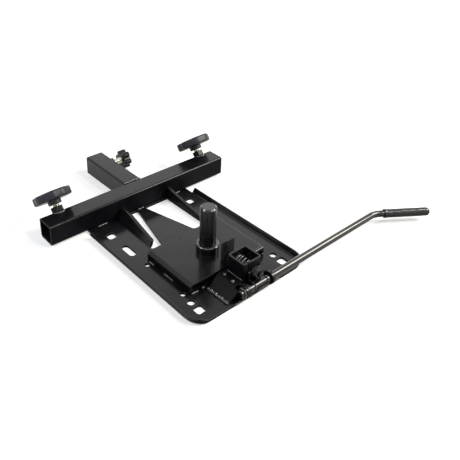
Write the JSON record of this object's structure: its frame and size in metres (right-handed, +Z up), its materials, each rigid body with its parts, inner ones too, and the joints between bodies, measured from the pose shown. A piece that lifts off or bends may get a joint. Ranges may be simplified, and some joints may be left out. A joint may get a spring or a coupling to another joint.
{
  "type": "swivel seat base",
  "caption": "Welded steel swivel base for a camper seat, with a spindle, a spring latch pulled by a long lever, and square receiver tubes with screw clamps.",
  "frame": {"origin": "underside of the base plate, straight below the spindle's axis", "axes": "+X along the cross tube towards the lever's grip, +Y from the spindle towards the cross tube and the rear tube, +Z up along the spindle"},
  "size_m": [0.3758, 0.3458, 0.0687],
  "materials": {
    "coat": "black semi-gloss powder coat",
    "gloss_coat": "black gloss paint",
    "zinc": "bright zinc",
    "spring_steel": "dark spring steel",
    "knob": "satin moulded plastic",
    "grip": "gloss dipped plastic"
  },
  "bodies": {
    "base": {"base_plate": "coat", "channel_plate": "coat", "spindle_collar": "coat", "spindle": "gloss_coat", "cross_tube": "coat", "rear_tube": "coat", "weld_nuts": "coat", "latch_bracket": "coat", "left_ear": "coat", "right_ear": "coat", "spring_box": "coat", "stop_pin": "coat", "latch_spring": "spring_steel"},
    "latch": {"latch_block": "coat", "plunger_rod": "coat", "spring_seat": "coat", "plunger_washer": "coat", "plunger_nut": "coat"},
    "lever": {"lever_rod": "gloss_coat", "crank_fork": "coat", "rod_washer": "coat", "lever_grip": "grip"},
    "left_clamp": {"left_screw": "zinc"},
    "left_hand_knob": {"left_knob": "knob"},
    "right_clamp": {"right_screw": "zinc"},
    "right_hand_knob": {"right_knob": "knob"},
    "rear_clamp": {"rear_screw": "zinc"},
    "rear_hand_knob": {"rear_knob": "grip"}
  },
  "joints": [
    {"name": "lever_turn", "type": "hinge", "parent": "base", "child": "lever", "pos_m": [0.0055, -0.0715, 0.012], "axis": [1, 0, 0], "range_deg": [0, 25]},
    {"name": "latch_slide", "type": "slide", "parent": "base", "child": "latch", "axis": [0, -1, 0], "range_m": [0, 0.0056], "stiffness_N_per_m": 300, "springref_m": -0.004, "deforming": ["latch_spring"]},
    {"name": "left_screw_travel", "type": "slide", "parent": "base", "child": "left_clamp", "axis": [0, -0.6157, -0.788], "range_m": [-0.00125, 0.00219]},
    {"name": "left_knob_turn", "type": "hinge", "parent": "left_clamp", "child": "left_hand_knob", "pos_m": [-0.097, 0.1441, 0.0255], "axis": [0, -0.6157, -0.788], "range_deg": [-360, 630]},
    {"name": "right_screw_travel", "type": "slide", "parent": "base", "child": "right_clamp", "axis": [0, -0.6157, -0.788], "range_m": [-0.00125, 0.00219]},
    {"name": "right_knob_turn", "type": "hinge", "parent": "right_clamp", "child": "right_hand_knob", "pos_m": [0.1145, 0.1441, 0.0255], "axis": [0, -0.6157, -0.788], "range_deg": [-360, 630]},
    {"name": "rear_screw_travel", "type": "slide", "parent": "base", "child": "rear_clamp", "axis": [-1, 0, 0], "range_m": [-0.00125, 0.005]},
    {"name": "rear_knob_turn", "type": "hinge", "parent": "rear_clamp", "child": "rear_hand_knob", "pos_m": [0.0442, 0.219, 0.0155], "axis": [-1, 0, 0], "range_deg": [-360, 1440]}
  ],
  "couplings": [
    {"joint": "lever_turn", "follows": "latch_slide", "rad_per_m": 77.94},
    {"joint": "left_knob_turn", "follows": "left_screw_travel", "rad_per_m": 5026.5},
    {"joint": "right_knob_turn", "follows": "right_screw_travel", "rad_per_m": 5026.5},
    {"joint": "rear_knob_turn", "follows": "rear_screw_travel", "rad_per_m": 5026.5}
  ]
}
